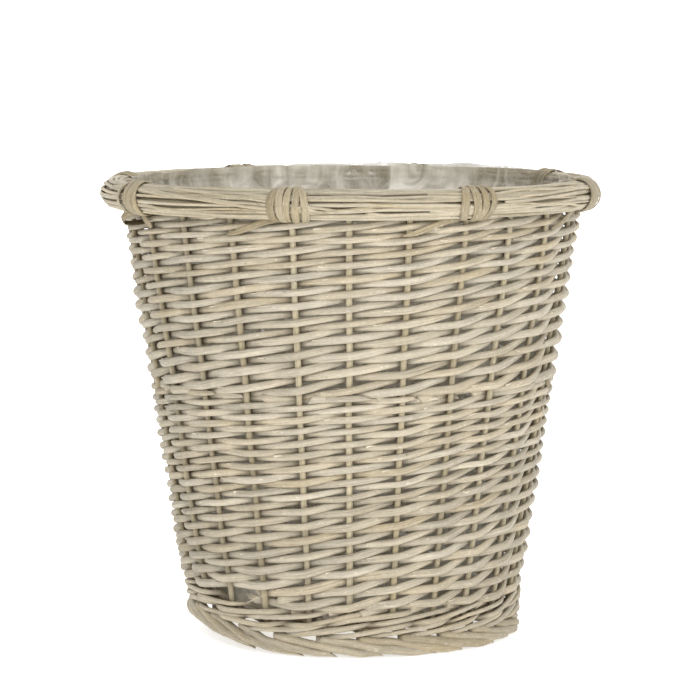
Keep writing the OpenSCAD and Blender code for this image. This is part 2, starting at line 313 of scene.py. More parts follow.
def willow(name, pale, warm, grey, dark, rough=0.62, shade=0.0, streak=1.0):
    """Peeled willow: tone from rod to rod, long grain, grey wash, specks and darker pores, and painted shade in the
    weave's recesses.
    """
    mat = bpy.data.materials.new(name)
    mat.use_nodes = True
    nt = mat.node_tree
    N, L = nt.nodes, nt.links
    bsdf = N["Principled BSDF"]

    def attr(key):
        a = N.new("ShaderNodeAttribute")
        a.attribute_name = key
        return a

    def mathn(op, a, b=None, clamp=False):
        x = N.new("ShaderNodeMath")
        x.operation = op
        x.use_clamp = clamp
        for k, v in ((0, a), (1, b)):
            if v is None:
                continue
            if isinstance(v, (int, float)):
                x.inputs[k].default_value = v
            else:
                L.new(v, x.inputs[k])
        return x.outputs[0]

    def mix(f, a, b, mode="MIX"):
        x = N.new("ShaderNodeMix")
        x.data_type = "RGBA"
        x.blend_type = mode
        for k, v in ((0, f), (6, a), (7, b)):
            if isinstance(v, (int, float)):
                x.inputs[k].default_value = v
            elif isinstance(v, tuple):
                x.inputs[k].default_value = v
            else:
                L.new(v, x.inputs[k])
        return x.outputs[2]

    def noise(vec, scale, detail=3.0, rough_=0.55, dist=0.0):
        x = N.new("ShaderNodeTexNoise")
        x.inputs["Scale"].default_value = scale
        x.inputs["Detail"].default_value = detail
        x.inputs["Roughness"].default_value = rough_
        x.inputs["Distortion"].default_value = dist
        L.new(vec, x.inputs["Vector"])
        return x.outputs["Fac"]

    def ramp(f, stops):
        x = N.new("ShaderNodeValToRGB")
        el = x.color_ramp.elements
        while len(el) < len(stops):
            el.new(0.5)
        for e, (pos, v) in zip(el, stops):
            e.position = pos
            e.color = v if isinstance(v, tuple) else (v, v, v, 1)
        L.new(f, x.inputs["Fac"])
        return x.outputs["Color"]

    def scaled(vec, sx, sy, sz):
        x = N.new("ShaderNodeMapping")
        x.inputs["Scale"].default_value = (sx, sy, sz)
        L.new(vec, x.inputs["Vector"])
        return x.outputs["Vector"]

    g = attr("grain").outputs["Vector"]
    tone, tint, deep = attr("tone").outputs["Fac"], attr("tint").outputs["Fac"], attr("deep").outputs["Fac"]
    long_grain = noise(scaled(g, 14, 900, 900), 1.0, 4, 0.6)
    fine_grain = noise(scaled(g, 60, 3200, 3200), 1.0, 3, 0.6)
    patch = noise(scaled(g, 22, 60, 60), 1.0, 3, 0.6)
    slow = noise(scaled(g, 5, 10, 10), 1.0, 2, 0.5)
    speck = noise(scaled(g, 260, 420, 420), 1.0, 2, 0.5)
    mottle = noise(scaled(g, 190, 420, 420), 1.0, 4, 0.65)
    blotch = noise(scaled(g, 70, 190, 190), 1.0, 3, 0.6)
    chalk = noise(scaled(g, 320, 620, 620), 1.0, 3, 0.7)

    base = mix(ramp(tint, [(0.0, 0.0), (1.0, 1.0)]), pale, warm)
    wash = mathn("ADD", mathn("MULTIPLY", patch, 0.9), mathn("MULTIPLY", slow, 0.7))
    base = mix(ramp(wash, [(0.62, 0.0), (1.05, 0.75)]), base, grey)
    base = mix(ramp(long_grain, [(0.30, 0.40 * streak), (0.52, 0.0)]), base, dark)
    base = mix(ramp(fine_grain, [(0.28, 0.30 * streak), (0.5, 0.0)]), base, dark)
    base = mix(ramp(speck, [(0.22, 0.55), (0.30, 0.0)]), base, dark)
    base = mix(ramp(chalk, [(0.60, 0.0), (0.72, 0.52)]), base, rgb("ebe6da"))
    # rod to rod brightness, and slow change along a rod
    bright = mathn("ADD", 1.0, mathn("MULTIPLY", tone, 0.10))
    bright = mathn("ADD", bright, mathn("MULTIPLY", mathn("SUBTRACT", patch, 0.5), 0.28))
    bright = mathn("ADD", bright, mathn("MULTIPLY", mathn("SUBTRACT", mottle, 0.5), 0.42))
    bright = mathn("ADD", bright, mathn("MULTIPLY", mathn("SUBTRACT", blotch, 0.5), 0.46))
    comb = N.new("ShaderNodeCombineColor")
    for k in range(3):
        L.new(bright, comb.inputs[k])
    base = mix(1.0, base, comb.outputs[0], "MULTIPLY")
    # painted shade: a per-vertex mask darkens the rods towards the dark colour where they lie in the weave's recesses
    base = mix(mathn("MULTIPLY", deep, 0.22 + shade, clamp=True), base, dark)
    L.new(base, bsdf.inputs["Base Color"])
    r = mathn("ADD", rough - 0.10, mathn("MULTIPLY", patch, 0.22))
    L.new(r, bsdf.inputs["Roughness"])
    bsdf.inputs["Specular IOR Level"].default_value = 0.24
    h = mathn("ADD", mathn("MULTIPLY", long_grain, 0.7), mathn("MULTIPLY", fine_grain, 0.35))
    h = mathn("ADD", h, mathn("MULTIPLY", mottle, 0.8))
    b = N.new("ShaderNodeBump")
    b.inputs["Strength"].default_value = 0.6
    b.inputs["Distance"].default_value = 0.0008
    L.new(h, b.inputs["Height"])
    L.new(b.outputs["Normal"], bsdf.inputs["Normal"])
    return mat


M_WALL = willow("willow_wall", rgb("cdc4b1"), rgb("bcac8c"), rgb("b0a999"), rgb("4c3f2c"), shade=0.50)
M_STAKE = willow("willow_stake", rgb("cabfa2"), rgb("baaa85"), rgb("afa792"), rgb("65573f"), shade=0.25)
M_RIM = willow("willow_rim", rgb("cac0a9"), rgb("b9aa89"), rgb("b1a997"), rgb("57472f"), rough=0.55, shade=0.35)
M_SKEIN = willow("willow_skein", rgb("b1a489"), rgb("a39371"), rgb("9c937f"), rgb("4a3c26"), rough=0.5, shade=0.75, streak=1.5)
M_FOOT = willow("willow_foot", rgb("beb49f"), rgb("ad9e7e"), rgb("a49d8d"), rgb("54462f"), shade=0.45)
M_BASE = willow("willow_base", rgb("c8b995"), rgb("b59c6c"), rgb("a79e88"), rgb("45361f"))


def film_material():
    mat = bpy.data.materials.new("clear_film")
    mat.use_nodes = True
    nt = mat.node_tree
    N, L = nt.nodes, nt.links
    b = N["Principled BSDF"]
    tc = N.new("ShaderNodeTexCoord")
    mp = N.new("ShaderNodeMapping")
    mp.inputs["Scale"].default_value = (1, 1, 0.35)
    L.new(tc.outputs["Object"], mp.inputs["Vector"])
    n1 = N.new("ShaderNodeTexNoise")
    n1.inputs["Scale"].default_value = 48
    n1.inputs["Detail"].default_value = 5
    n1.inputs["Distortion"].default_value = 1.0
    L.new(mp.outputs["Vector"], n1.inputs["Vector"])
    n2 = N.new("ShaderNodeTexNoise")
    n2.inputs["Scale"].default_value = 120
    n2.inputs["Detail"].default_value = 3
    L.new(tc.outputs["Object"], n2.inputs["Vector"])
    milk_and_shade = N.new("ShaderNodeAttribute")
    milk_and_shade.attribute_name = "milk_and_shade"

    def m(op, x, y):
        q = N.new("ShaderNodeMath")
        q.operation = op
        for k, v in ((0, x), (1, y)):
            if isinstance(v, (int, float)):
                q.inputs[k].default_value = v
            else:
                L.new(v, q.inputs[k])
        return q.outputs[0]

    # the film is darker and clearer where it is less clouded; in some zones this darkening is painted fold shade
    f = m("ADD", milk_and_shade.outputs["Fac"], m("MULTIPLY", m("SUBTRACT", n1.outputs["Fac"], 0.5), 1.5))
    cr = N.new("ShaderNodeValToRGB")
    cr.color_ramp.elements[0].position = 0.15
    cr.color_ramp.elements[0].color = rgb("a69e8b")
    cr.color_ramp.elements[1].position = 0.85
    cr.color_ramp.elements[1].color = rgb("ebe6d9")
    L.new(f, cr.inputs["Fac"])
    L.new(cr.outputs["Color"], b.inputs["Base Color"])
    al = N.new("ShaderNodeMapRange")
    al.inputs["From Min"].default_value = 0.1
    al.inputs["From Max"].default_value = 0.9
    al.inputs["To Min"].default_value = 0.30
    al.inputs["To Max"].default_value = 0.78
    L.new(f, al.inputs["Value"])
    L.new(al.outputs["Result"], b.inputs["Alpha"])
    b.inputs["Roughness"].default_value = 0.28
    b.inputs["Specular IOR Level"].default_value = 0.6
    bp = N.new("ShaderNodeBump")
    bp.inputs["Strength"].default_value = 0.4
    bp.inputs["Distance"].default_value = 0.002
    L.new(m("ADD", n1.outputs["Fac"], m("MULTIPLY", n2.outputs["Fac"], 0.5)), bp.inputs["Height"])
    L.new(bp.outputs["Normal"], b.inputs["Normal"])
    return mat


M_FILM = film_material()


def cyl(r, a, z):
    return np.stack([r * np.cos(a), r * np.sin(a), z + 0 * a], -1)


def radial(a):
    return np.stack([np.cos(a), np.sin(a), 0 * a], -1)


# ------------------------------------------------------------------ side stakes
STAKE_R = 2.8                # across; 2.4 from face to face, where the rods have pressed it flat
b = Bunch()
for s in range(NS):
    rng = np.random.default_rng(500 + s)
    a0 = float(stake_ang(s))
    zt = UP_TOP + 3.8
    leg = np.linspace(76, stake_rc(BASE_Z) - 6, 10)
    pts = [(r, BASE_Z) for r in leg]
    rc = float(stake_rc(BASE_Z))
    for k in range(1, 6):       # turn from leg to upright
        an = k / 6 * math.radians(81)
        pts.append((rc - 6 + 6 * math.sin(an), BASE_Z + 6 - 6 * math.cos(an)))
    up = np.linspace(BASE_Z + 8, zt - 2, 90)
    pts += [(float(stake_rc(z)), z) for z in up]
    end = (RIM_R - 1.5, RIM_Z - 0.5)
    st = (float(stake_rc(zt)), zt)
    for k in range(1, 7):
        f = k / 6
        pts.append((st[0] + (end[0] - st[0]) * f, st[1] + (end[1] - st[1]) * f))
    pts = np.array(pts)
    n = len(pts)
    wob = smooth_noise(n, 8, rng, 0.35)
    wob[:16] = 0
    an = a0 + smooth_noise(n, 7, rng, 0.35) * MM * 5 * (np.arange(n) > 16)
    p = cyl(pts[:, 0] + wob, an, pts[:, 1])
    tang = np.stack([-np.sin(an), np.cos(an), 0 * an], -1)
    dia = rng.uniform(0.94, 1.06)
    r = STAKE_R * dia * (1 + smooth_noise(n, 10, rng, 0.025))
    # painted shade: the stakes left of the front are darkened most, the front ones least, and all of them strongly low
    # down where they show in the wale's gaps
    painted_stake_shade = 0.1 if s in (0, 23) else (0.75 if 17 <= s <= 22 else 0.45)
    painted_stake_shade = np.maximum(painted_stake_shade, np.interp(pts[:, 1], [30, 40, 52], [1.3, 1.0, 0.0]))
    b.rod(p, tang, r, r * 0.86, m=12, tone=rng.normal(0.2, 0.6), tint=rng.uniform(0.1, 0.8), deep=painted_stake_shade, seed=s + 0.3, rng=rng)
b.build("side_stakes_rods", M_STAKE, "willow_stakes", ["side_stakes"])


# ------------------------------------------------------------------ randed bands
ROWS_UP = field2(41, 19, 9)
ROWS_IN = field2(42, 17, 8)


def wave(t):
    """In front (1) at odd numbers, behind (-1) at even ones. A stiff rod runs nearly straight from stake to stake."""
    tri = 1 - 2 * np.abs(np.mod(t + 1, 2) - 1)
    return -(0.40 * np.cos(math.pi * t) + 0.60 * tri)


def kink(t):
    """A rod runs flat up to the stake it crosses in front, then climbs behind the next: low at odd numbers, high at even ones."""
    return 0.75 * (1 - 2 * np.abs(np.mod(t + 1, 2) - 1)) + 0.25 * np.cos(math.pi * t)


def climb(z, an):
    """How strongly a weaver kinks at that height and direction, in rows: more low down and on the right."""
    phi = np.degrees(np.mod(an - FRONT + math.pi, TAU) - math.pi)
    return np.interp(z, [40, 60, 130, 220, 240, 300, 390], [0.10, 0.15, 0.11, 0.06, 0.14, 0.08, 0.03]) + 0.06 * ease((phi - 5) / 30)


def splinter(bunch, p0, p1, r, seed, out=1.5, tone=None, tint=None):
    """A thin torn fibre from p0 to p1, given as (direction, radius out of the stake line, height)."""
    rng = np.random.default_rng(seed)
    n = 9
    t = np.linspace(0, 1, n)
    an = p0[0] + (p1[0] - p0[0]) * t
    z = p0[2] + (p1[2] - p0[2]) * t + rng.normal(0, 0.5) * np.sin(t * 3.1)
    rr = stake_rc(z) + p0[1] + (p1[1] - p0[1]) * t + out * np.sin(t * 3.1)
    bunch.rod(cyl(rr, an, z), radial(an), r * (1.05 - 0.8 * t), m=5, tone=rng.normal(0.9, 0.5) if tone is None else tone, tint=rng.uniform(0, 0.6) if tint is None else tint, seed=seed, rng=rng, lump=0)


def band(prefix, material, slot, node, zs, r_butt, r_tip, groups, seed, start=(-0.75, -0.35), end=(-0.3, 0.3), low=3.0, high=3.0, first=None, lift=None):
    """24 weavers, each starting in the next space, in front of one stake and behind the next, rising one step per stake."""
    steps = len(zs) - 1
    per = 12
    obs = []
    for g in range(groups):
        b = Bunch()
        for w in range(g, NS, groups):
            rng = np.random.default_rng(seed + w)
            size = rng.uniform(0.90, 1.07)
            t0, t1 = rng.uniform(*start), steps + rng.uniform(*end)
            if first and w in first:
                t0 = first[w]
            n = int((t1 - t0) * per) + 1
            t = np.linspace(t0, t1, n)
            j = np.floor(t).astype(int)
            f = t - j
            ang = stake_ang(w + j) * (1 - f) + stake_ang(w + j + 1) * f
            zi = np.interp(t, np.arange(steps + 1), zs)
            zi = np.where(t < 0, zs[0] + low * t, zi)
            zi = np.where(t > steps, zs[-1] + (t - steps) * high, zi)
            if lift and w in lift:
                zi = zi + lift[w] * ease((0.9 - t) / 1.1)
            frac = (t - t0) / (t1 - t0)
            r = (r_butt + (r_tip - r_butt) * frac) * size
            r = r * (1 + smooth_noise(n, steps * 1.2, rng, 0.05))
            r = r * (1 - 0.35 * ease((t - t1 + 0.25) / 0.25))
            rad = r * 0.80
            rv = r * 1.05
            off = (2.4 + rad - 0.55) * wave(t)
            # each crossing sits a little higher or lower than even
            knock = np.interp(t, np.arange(-1, steps + 2), rng.normal(0, 0.55, steps + 3))
            pitch = np.interp(t, np.arange(steps + 1), np.gradient(zs))
            zz = zi + knock + smooth_noise(n, steps * 2.2, rng, 0.22) + 1.0 * ROWS_UP(ang, zi / 400) + climb(zi, ang) * pitch * kink(t)
            rc = stake_rc(zi) + off + smooth_noise(n, steps * 0.8, rng, 0.25) + 0.8 * ROWS_IN(ang, zi / 400)
            p = cyl(rc, ang, zz)
            # painted shade: each rod darkens where it passes behind a stake, making the dark pocket beside the stake
            deep = np.clip((-wave(t) - 0.70) / 0.22, 0, 1)
            # the rods are darker on the left side, and on the right side low down
            phi = np.degrees(np.mod(ang - FRONT + math.pi, TAU) - math.pi)
            tone = rng.normal(-0.1, 0.55) - 1.0 * ease((-phi - 36) / 30) - 0.7 * ease((phi - 18) / 30) * ease((150 - zi) / 80)
            b.rod(p, radial(ang), rad, rv, m=12, tone=tone, tint=rng.beta(1.5, 1.9), deep=deep,
                  cap=(0.12, 0.2), slant=(rng.uniform(-0.8, 0.8), rng.uniform(0.8, 2.0)), seed=w + seed * 0.37, rng=rng, lump=0.05)
            # painted highlights: very pale slivers midway between stakes, brighter than any rod, standing for small
            # white glints on the weave
            for k in range(1, steps, 2):
                if rng.random() < 0.34:
                    q = int((k - 0.5 + rng.normal(0, 0.09) - t0) * per)
                    if 6 < q < n - 6:
                        e = rng.uniform(0.018, 0.052)
                        aa, up_ = float(ang[q]), float(zz[q] + rv[q] * rng.uniform(0.4, 0.7))
                        ro = float(rc[q] - stake_rc(zi[q]) + rad[q] * 0.8)
                        splinter(b, (aa - e * 0.4, ro, up_ - 0.3), (aa + e * 0.6, ro + 0.4, up_ + 0.5), rng.uniform(0.5, 1.05), seed * 3 + w * 50 + k, out=0.5, tone=rng.uniform(2.0, 5.0), tint=0.0)
            # a few torn fibres stand off the rods
            for k in range(rng.integers(0, 2 if steps > 25 else 3)):
                q = int(rng.integers(10, n - 10))
                if abs(wave(t[q])) > 0.6 and wave(t[q]) > 0:
                    aa = float(ang[q])
                    splinter(b, (aa, float(rc[q] - stake_rc(zi[q]) + rad[q] * 0.8), float(zz[q]) + rng.uniform(-2, 2)),
                             (aa + rng.uniform(0.04, 0.1) * rng.choice([-1, 1]), float(rc[q] - stake_rc(zi[q]) + rad[q] * 0.6), float(zz[q]) + rng.uniform(-2, 4)),
                             rng.uniform(0.18, 0.3), seed * 7 + w * 10 + k, out=rng.uniform(0.3, 1.2))
        if g == 0 and seed == 1000:
            # the frayed weaver end left of the front, with one long white fibre
            a_f = float(stake_ang(-2))
            for k in range(9):
                rr_ = np.random.default_rng(77 + k)
                splinter(b, (a_f - 0.05, -1.5, 46.5 + rr_.uniform(-2.4, 2.4)), (a_f - rr_.uniform(0.10, 0.145), rr_.uniform(-2, 2), 46.5 + rr_.uniform(-4.5, 4)), rr_.uniform(0.4, 0.8), 3100 + k, out=0.8)
            splinter(b, (a_f - 0.10, 5.2, 43.5), (a_f + 0.045, 5.6, 54.5), 0.42, 3120, out=0.8, tone=3.0)
        obs.append(b.build(f"{prefix}_{g + 1}", material, slot, [node] if g == 0 else []))
    return obs


J = np.arange(0, 32)
Z_LOW = 47.0 + 7.85 * (J - 1) - 0.0559 * (J - 1) ** 2
Z_LOW[0] = 42.0
J = np.arange(0, 26)
Z_UP = 239.7 + 7.75 * (J - 1) - 0.0615 * (J - 1) ** 2
Z_UP[0] = 232.0
Z_UP[24], Z_UP[25] = 385.6, 389.0
band("lower_rand_weavers", M_WALL, "willow_lower", "lower_rand", Z_LOW, 3.70, 2.60, 4, 1000, end=(-0.9, 0.4), high=2.0, first={20: 1.8, 21: 1.35, 22: -0.32}, lift={22: 4.5})
band("upper_rand_weavers", M_WALL, "willow_upper", "upper_rand", Z_UP, 3.68, 2.58, 4, 3000, start=(-0.95, -0.4), end=(-0.6, 0.1), low=2.0)

# ------------------------------------------------------------------ upsett wale: three rods, two rounds
b = Bunch()
for m in range(3):
    rng = np.random.default_rng(7000 + m)
    total = 2 * NS + 3
    n = total * 14
    u = np.linspace(0.0, total, n)
    s = np.floor(u).astype(int)
    f = u - s
    ang = stake_ang(s + 12) * (1 - f) + stake_ang(s + 13) * f
    ph = np.mod(u + m, 3)
    d = np.minimum(ph, 3 - ph)       # 0 behind a stake, up to 1.5 midway along the front
    side = -1 + 2 * ease((d - 0.05) / 0.85)
    h = np.where((ph > 0.45) & (ph < 2.55), -6.6 + 13.2 * (ph - 0.45) / 2.1, 0)
    back = np.mod(ph + 1.5, 3) - 1.5
    h = np.where(d <= 0.45, -14.67 * back, h)
    r = 2.38 * (1 + smooth_noise(n, 60, rng, 0.11)) * np.interp(u, [0, total], [1.06, 0.94])
    zc = 24.0 + np.interp(u, [0, NS - 1, NS + 1, 2 * NS, total], [0, 0, 10.6, 10.6, 12.0])
    knock = np.interp(u, np.arange(total + 2), rng.normal(0, 1.25, total + 2))
    rad = r * 0.9
    off = side * (2.4 + rad - 0.2)
    p = cyl(stake_rc(zc) + off + np.where(side > 0, 1.1 * np.sin((ph - 0.5) * 1.57), 0), ang, zc + h * 0.95 + knock)
    # painted shade on the parts of the wale rods that pass behind the stakes
    deep = np.clip(0.72 - 0.8 * side, 0, 1)
    b.rod(p, radial(ang), rad, r, m=12, tone=rng.normal(-0.6, 0.4), tint=rng.uniform(0.2, 0.7), deep=deep, cap=(0.1, 0.1), seed=m + 70.1, rng=rng, lump=0.05)
b.build("upsett_wale_rods", M_WALL, "willow_wale", ["upsett_wale"])

# ------------------------------------------------------------------ foot border: foot stakes turned down to the right
b = Bunch()
for s in range(NS):
    rng = np.random.default_rng(8000 + s)
    a0 = float(stake_ang(s)) + math.radians(3.6)
    up_z = np.linspace(36, 19.5, 7)
    bend = np.linspace(0, 1, 8)[1:]
    run = np.linspace(0, 1, 56)[1:]
    span = math.radians(rng.uniform(34, 41))
    deg = np.degrees(span) * run
    top = 16.2 + rng.normal(0, 0.6) + (1.2 if 2 <= s <= 6 else 0) - (1.0 if s in (0, 22, 23) else 0)
    zr = np.interp(deg, [0, 6, 14, 22, 30, 41], [top, 14.0, 10.8, 7.7, 5.3, 3.6])
    ang = np.concatenate([np.full(7, a0), a0 + math.radians(0.9) * bend ** 2, a0 + math.radians(0.9) + span * run])
    z = np.concatenate([up_z, 19.5 - (19.5 - top) * np.sin(bend * math.pi / 2), zr])
    rr = np.concatenate([stake_rc(up_z) - 0.8, np.full(7, float(stake_rc(15)) - 0.8) + 2.6 * bend,
                         np.interp(deg, [0, 8, 18, 30, 41], [float(stake_rc(15)) + 1.8, 145.6, 147.8, 148.6, 146.6])])
    n = len(ang)
    i = np.linspace(0, 1, n)
    r = np.interp(i, [0, 0.08, 0.16, 0.3, 0.75, 1], [2.7, 3.2, 4.2, 4.15, 3.8, 2.7]) * rng.uniform(0.94, 1.06)
    z = z + smooth_noise(n, 5, rng, 0.45) * (i > 0.15)
    z = np.maximum(z, r * 1.0 + 0.02)
    p = cyl(rr + smooth_noise(n, 5, rng, 0.5), ang, z)
    # painted shade on the bare uprights, where they turn down under the wale
    deep = np.interp(i, [0, 0.09, 0.15, 0.22], [0.95, 0.85, 0.35, 0.0])
    b.rod(p, radial(ang), r * 1.0, r, m=12, tone=rng.normal(0, 0.6), tint=rng.uniform(0.2, 0.9), deep=deep, cap=(0.1, 0.15),
          slant=(0, rng.uniform(1.4, 2.6)), seed=s + 80.2, rng=rng, lump=0.05)
b.build("foot_border_rods", M_FOOT, "willow_foot", ["foot_border"])

# ------------------------------------------------------------------ rim bundle
def around(an, rho, sec):
    """A place in the bundle: direction an, distance rho from the bundle's middle, and angle sec in its section (0 outwards, 90 degrees up)."""
    return cyl(RIM_R + rho * np.cos(sec), an, RIM_Z + rho * np.sin(sec))


def away(an, sec):
    return np.stack([np.cos(sec) * np.cos(an), np.cos(sec) * np.sin(an), np.sin(sec)], -1)


b, c = Bunch(), Bunch()
slots = 15
keep = 31.3
a_in = 180 + 37.0
for k in range(slots):
    rng = np.random.default_rng(9000 + k)
    sec0 = math.radians(a_in + keep + k * (360 - 2 * keep) / (slots - 1))
    # each place in the bundle holds rods that follow one another, thick end over thin end
    theta = rng.uniform(0, TAU)
    parts = 4
    for q in range(parts):
        length = TAU / parts + math.radians(rng.uniform(4, 22))
        n = 120
        t = np.linspace(0, 1, n)
        an = theta + q * TAU / parts + length * t
        size = rng.uniform(0.8, 1.14)
        r = np.interp(t, [0, 0.1, 1], [2.35, 2.3, 1.6]) * size
        r = r * (1 + smooth_noise(n, 14, rng, 0.06))
        sec = sec0 + smooth_noise(n, 5, rng, 0.10) + 0.08 * np.sin(an * 2 + k)
        rho = BUNDLE_R - r - 0.1 + smooth_noise(n, 7, rng, 0.35)
        dive = ease((0.06 - t) / 0.06) * rng.uniform(0, 1) + ease((t - 0.92) / 0.08) * rng.uniform(0.3, 1)
        rho = rho - 2.8 * dive
        flat = rng.uniform(0.8, 1.15)
        phi = np.degrees(np.mod(an - FRONT + math.pi, TAU) - math.pi)
        b.rod(around(an, rho, sec), away(an, sec), r, r * flat, m=10, tone=rng.normal(0, 0.75) + 0.6 * ease((-phi - 30) / 35), tint=rng.uniform(0.0, 1.0), cap=(0.1, 0.2),
              slant=(rng.uniform(-1, 1), rng.uniform(0.5, 2.5)), seed=k * 4 + q + 90.3, rng=rng, lump=0.09)
# thin rods and split ones lie in the furrows and wander across their neighbours
for k in range(70):
    rng = np.random.default_rng(9300 + k)
    n = 60
    t = np.linspace(0, 1, n)
    length = math.radians(rng.uniform(22, 75))
    theta = rng.uniform(0, TAU)
    sec0 = math.radians(rng.uniform(-112, 170))
    drift = rng.normal(0, 0.42)
    an = theta + length * t
    sec = sec0 + drift * (ease(t) - 0.5) + smooth_noise(n, 4, rng, 0.07)
    r = np.interp(t, [0, 0.15, 0.8, 1], [1.15, 1.35, 1.1, 0.5]) * rng.uniform(0.7, 1.25)
    rho = BUNDLE_R - 1.2 - 1.7 * (ease((0.12 - t) / 0.12) + ease((t - 0.85) / 0.15)) * rng.uniform(0, 1) + smooth_noise(n, 5, rng, 0.3)
    b.rod(around(an, rho, sec), away(an, sec), r * 0.85, r * rng.uniform(1.0, 1.5), m=8, tone=rng.normal(0.1, 0.9), tint=rng.uniform(0.0, 1.0), cap=(0.1, 0.1),
          slant=(rng.uniform(-2, 2), rng.uniform(-2, 2)), seed=k + 290.3, rng=rng, lump=0.1)
# the strands that slope down to the right on the left of the front, and the cut ends by the front binding
for k, (p0, p1, s0, s1, r0) in enumerate([(-52, -17, 42, -14, 1.7), (-50, -20, 30, 4, 1.5), (-44, -17, 56, 12, 1.6), (-36, -16, 24, -22, 1.4),
                                          (-12.5, -6.2, -6, -22, 1.2), (-12.4, -5.0, -12, -27, 1.1), (-12.6, -3.0, 2, -14, 1.2), (-12.3, -7.5, -20, -30, 1.0),
                                          (40, 70, 20, 44, 1.6), (36, 66, 2, 22, 1.5), (44, 72, 50, 30, 1.5)]):
    rng = np.random.default_rng(9400 + k)
    n = 50
    t = np.linspace(0, 1, n)
    an = FRONT + np.radians(p0 + (p1 - p0) * t)
    sec = np.radians(s0 + (s1 - s0) * t) + smooth_noise(n, 4, rng, 0.03)
    r = r0 * np.interp(t, [0, 0.1, 0.8, 1], [0.85, 1, 0.9, 0.55])
    rho = BUNDLE_R + 0.35 - 2.4 * ease((0.1 - t) / 0.1) + smooth_noise(n, 4, rng, 0.2)
    b.rod(around(an, rho, sec), away(an, sec), r * 0.9, r, m=9, tone=rng.normal(0.1, 0.6), tint=rng.uniform(0.1, 0.8), cap=(0.1, 0.1),
          slant=(0, rng.uniform(1, 3)), seed=k + 390.3, rng=rng, lump=0.08)
# the bundle's inner rods, seen only through its gaps, carry painted shade
for k in range(10):
    rng = np.random.default_rng(9500 + k)
    n = 220
    t = np.linspace(0, 1, n)
    an = rng.uniform(0, TAU) + (TAU + 0.2) * t
    sec = k / 10 * TAU + 0.12 * np.sin(an)
    r = np.interp(t, [0, 1], [2.3, 2.0])
    c.rod(around(an, 6.7 + 0 * an, sec), away(an, sec), r, r, m=8, tone=rng.normal(-0.4, 0.5), tint=rng.uniform(0.3, 1.0), deep=np.full(n, 0.45), seed=k + 95.4, rng=rng)
# the three core rods carry deeper painted shade
for k in range(3):
    n = 200
    an = np.linspace(0, TAU + 0.1, n)
    sec = np.full(n, k / 3 * TAU)
    c.rod(around(an, 2.3 + 0 * an, sec), away(an, sec), 2.0, 2.0, m=8, tone=-0.5, tint=0.6, deep=np.full(n, 0.9), seed=k + 97.4)
b.build("rim_outer_willow", M_RIM, "willow_rim", ["rim_outer_rods"], segment=450)
c.build("rim_core_willow", M_RIM, "willow_rim", ["rim_core_rods"], segment=450)

